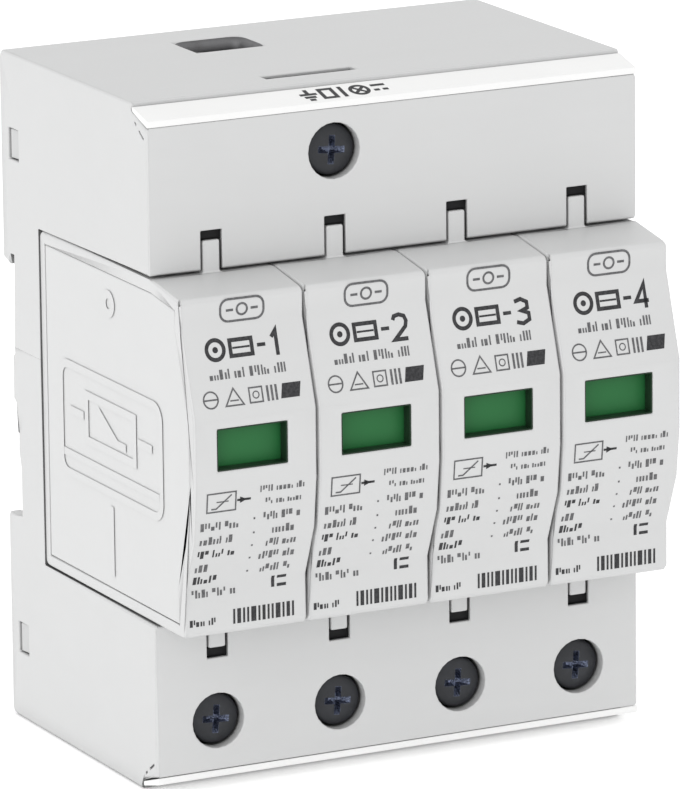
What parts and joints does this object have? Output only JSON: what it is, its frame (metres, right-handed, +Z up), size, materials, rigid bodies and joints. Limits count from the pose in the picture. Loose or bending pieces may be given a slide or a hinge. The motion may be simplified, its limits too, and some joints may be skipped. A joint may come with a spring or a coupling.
{
  "type": "din rail surge arrester",
  "caption": "Modular surge protection device for a mounting rail: a light grey base with screw terminals and plug-in protection modules that show a green status window.",
  "frame": {"origin": "centre of the flat face that seats on the mounting rail, at the rail's centre line and the middle of the width", "axes": "+Z up the front, along the height of the device; +Y out of the back, towards the rail; X along the rail, with the front looking along -Y"},
  "size_m": [0.07, 0.057, 0.09],
  "materials": {
    "base_plastic": "light grey moulded thermoplastic, fine grain",
    "rear_cover_plastic": "light grey moulded thermoplastic, matt",
    "label_plastic": "bright white label strip, satin",
    "module_plastic": "light grey moulded thermoplastic, fine grain",
    "status_green": "green indicator slide, satin",
    "tripped_red": "red indicator plate, satin",
    "black_screw": "blackened steel, semi-gloss",
    "zinc_steel": "zinc-plated steel",
    "tinned_copper": "tin-plated copper strip",
    "varistor_coating": "dipped epoxy coating",
    "clip_plastic": "black reinforced plastic, matt"
  },
  "bodies": {
    "base": {"base_housing_upper": "base_plastic", "base_housing_lower": "base_plastic", "rear_cover": "rear_cover_plastic", "label_strip_top": "label_plastic", "label_strip_bottom": "label_plastic", "line_contact_1": "tinned_copper", "line_contact_2": "tinned_copper", "line_contact_3": "tinned_copper", "line_contact_4": "tinned_copper", "earth_busbar": "tinned_copper", "clip_spring_left": "zinc_steel", "clip_spring_right": "zinc_steel"},
    "screw_line_1": {"terminal_screw_line_1": "black_screw"},
    "cage_line_1": {"clamp_cage_line_1": "zinc_steel"},
    "screw_line_2": {"terminal_screw_line_2": "black_screw"},
    "cage_line_2": {"clamp_cage_line_2": "zinc_steel"},
    "screw_line_3": {"terminal_screw_line_3": "black_screw"},
    "cage_line_3": {"clamp_cage_line_3": "zinc_steel"},
    "screw_line_4": {"terminal_screw_line_4": "black_screw"},
    "cage_line_4": {"clamp_cage_line_4": "zinc_steel"},
    "screw_earth": {"terminal_screw_earth": "black_screw"},
    "cage_earth": {"clamp_cage_earth": "zinc_steel"},
    "clip_left": {"rail_clip_left": "clip_plastic"},
    "clip_right": {"rail_clip_right": "clip_plastic"},
    "module_1": {"module_shell_1": "module_plastic", "module_side_cover_1": "module_plastic", "tripped_plate_1": "tripped_red", "trip_spring_1": "zinc_steel", "varistor_1": "varistor_coating", "upper_blade_1": "tinned_copper", "lower_blade_1": "tinned_copper"},
    "flag_1": {"status_slider_1": "status_green"},
    "module_2": {"module_shell_2": "module_plastic", "module_side_cover_2": "module_plastic", "tripped_plate_2": "tripped_red", "trip_spring_2": "zinc_steel", "varistor_2": "varistor_coating", "upper_blade_2": "tinned_copper", "lower_blade_2": "tinned_copper"},
    "flag_2": {"status_slider_2": "status_green"},
    "module_3": {"module_shell_3": "module_plastic", "module_side_cover_3": "module_plastic", "tripped_plate_3": "tripped_red", "trip_spring_3": "zinc_steel", "varistor_3": "varistor_coating", "upper_blade_3": "tinned_copper", "lower_blade_3": "tinned_copper"},
    "flag_3": {"status_slider_3": "status_green"},
    "module_4": {"module_shell_4": "module_plastic", "module_side_cover_4": "module_plastic", "tripped_plate_4": "tripped_red", "trip_spring_4": "zinc_steel", "varistor_4": "varistor_coating", "upper_blade_4": "tinned_copper", "lower_blade_4": "tinned_copper"},
    "flag_4": {"status_slider_4": "status_green"}
  },
  "joints": [
    {"name": "turn_screw_line_1", "type": "hinge", "parent": "base", "child": "screw_line_1", "pos_m": [-0.02625, -0.0386, -0.0364], "axis": [0, 1, 0], "range_deg": [0, 3290]},
    {"name": "lift_cage_line_1", "type": "slide", "parent": "base", "child": "cage_line_1", "axis": [0, -1, 0], "range_m": [0, 0.0073]},
    {"name": "turn_screw_line_2", "type": "hinge", "parent": "base", "child": "screw_line_2", "pos_m": [-0.00875, -0.0386, -0.0364], "axis": [0, 1, 0], "range_deg": [0, 3290]},
    {"name": "lift_cage_line_2", "type": "slide", "parent": "base", "child": "cage_line_2", "axis": [0, -1, 0], "range_m": [0, 0.0073]},
    {"name": "turn_screw_line_3", "type": "hinge", "parent": "base", "child": "screw_line_3", "pos_m": [0.00875, -0.0386, -0.0364], "axis": [0, 1, 0], "range_deg": [0, 3290]},
    {"name": "lift_cage_line_3", "type": "slide", "parent": "base", "child": "cage_line_3", "axis": [0, -1, 0], "range_m": [0, 0.0073]},
    {"name": "turn_screw_line_4", "type": "hinge", "parent": "base", "child": "screw_line_4", "pos_m": [0.02625, -0.0386, -0.0364], "axis": [0, 1, 0], "range_deg": [0, 3290]},
    {"name": "lift_cage_line_4", "type": "slide", "parent": "base", "child": "cage_line_4", "axis": [0, -1, 0], "range_m": [0, 0.0073]},
    {"name": "turn_screw_earth", "type": "hinge", "parent": "base", "child": "screw_earth", "pos_m": [-0.00875, -0.0386, 0.0364], "axis": [0, 1, 0], "range_deg": [0, 3290]},
    {"name": "lift_cage_earth", "type": "slide", "parent": "base", "child": "cage_earth", "axis": [0, -1, 0], "range_m": [0, 0.0073]},
    {"name": "release_clip_left", "type": "slide", "parent": "base", "child": "clip_left", "axis": [0, 0, -1], "range_m": [0, 0.0025], "stiffness_N_per_m": 1500, "springref_m": -0.002, "deforming": ["clip_spring_left"]},
    {"name": "release_clip_right", "type": "slide", "parent": "base", "child": "clip_right", "axis": [0, 0, -1], "range_m": [0, 0.0025], "stiffness_N_per_m": 1500, "springref_m": -0.002, "deforming": ["clip_spring_right"]},
    {"name": "pull_module_1", "type": "slide", "parent": "base", "child": "module_1", "axis": [0, -1, 0], "range_m": [0, 0.05]},
    {"name": "trip_flag_1", "type": "slide", "parent": "module_1", "child": "flag_1", "axis": [0, 0, -1], "range_m": [0, 0.0066], "deforming": ["trip_spring_1"]},
    {"name": "pull_module_2", "type": "slide", "parent": "base", "child": "module_2", "axis": [0, -1, 0], "range_m": [0, 0.05]},
    {"name": "trip_flag_2", "type": "slide", "parent": "module_2", "child": "flag_2", "axis": [0, 0, -1], "range_m": [0, 0.0066], "deforming": ["trip_spring_2"]},
    {"name": "pull_module_3", "type": "slide", "parent": "base", "child": "module_3", "axis": [0, -1, 0], "range_m": [0, 0.05]},
    {"name": "trip_flag_3", "type": "slide", "parent": "module_3", "child": "flag_3", "axis": [0, 0, -1], "range_m": [0, 0.0066], "deforming": ["trip_spring_3"]},
    {"name": "pull_module_4", "type": "slide", "parent": "base", "child": "module_4", "axis": [0, -1, 0], "range_m": [0, 0.05]},
    {"name": "trip_flag_4", "type": "slide", "parent": "module_4", "child": "flag_4", "axis": [0, 0, -1], "range_m": [0, 0.0066], "deforming": ["trip_spring_4"]}
  ],
  "couplings": [
    {"joint": "turn_screw_line_1", "follows": "lift_cage_line_1", "rad_per_m": 7854},
    {"joint": "turn_screw_line_2", "follows": "lift_cage_line_2", "rad_per_m": 7854},
    {"joint": "turn_screw_line_3", "follows": "lift_cage_line_3", "rad_per_m": 7854},
    {"joint": "turn_screw_line_4", "follows": "lift_cage_line_4", "rad_per_m": 7854},
    {"joint": "turn_screw_earth", "follows": "lift_cage_earth", "rad_per_m": 7854}
  ]
}
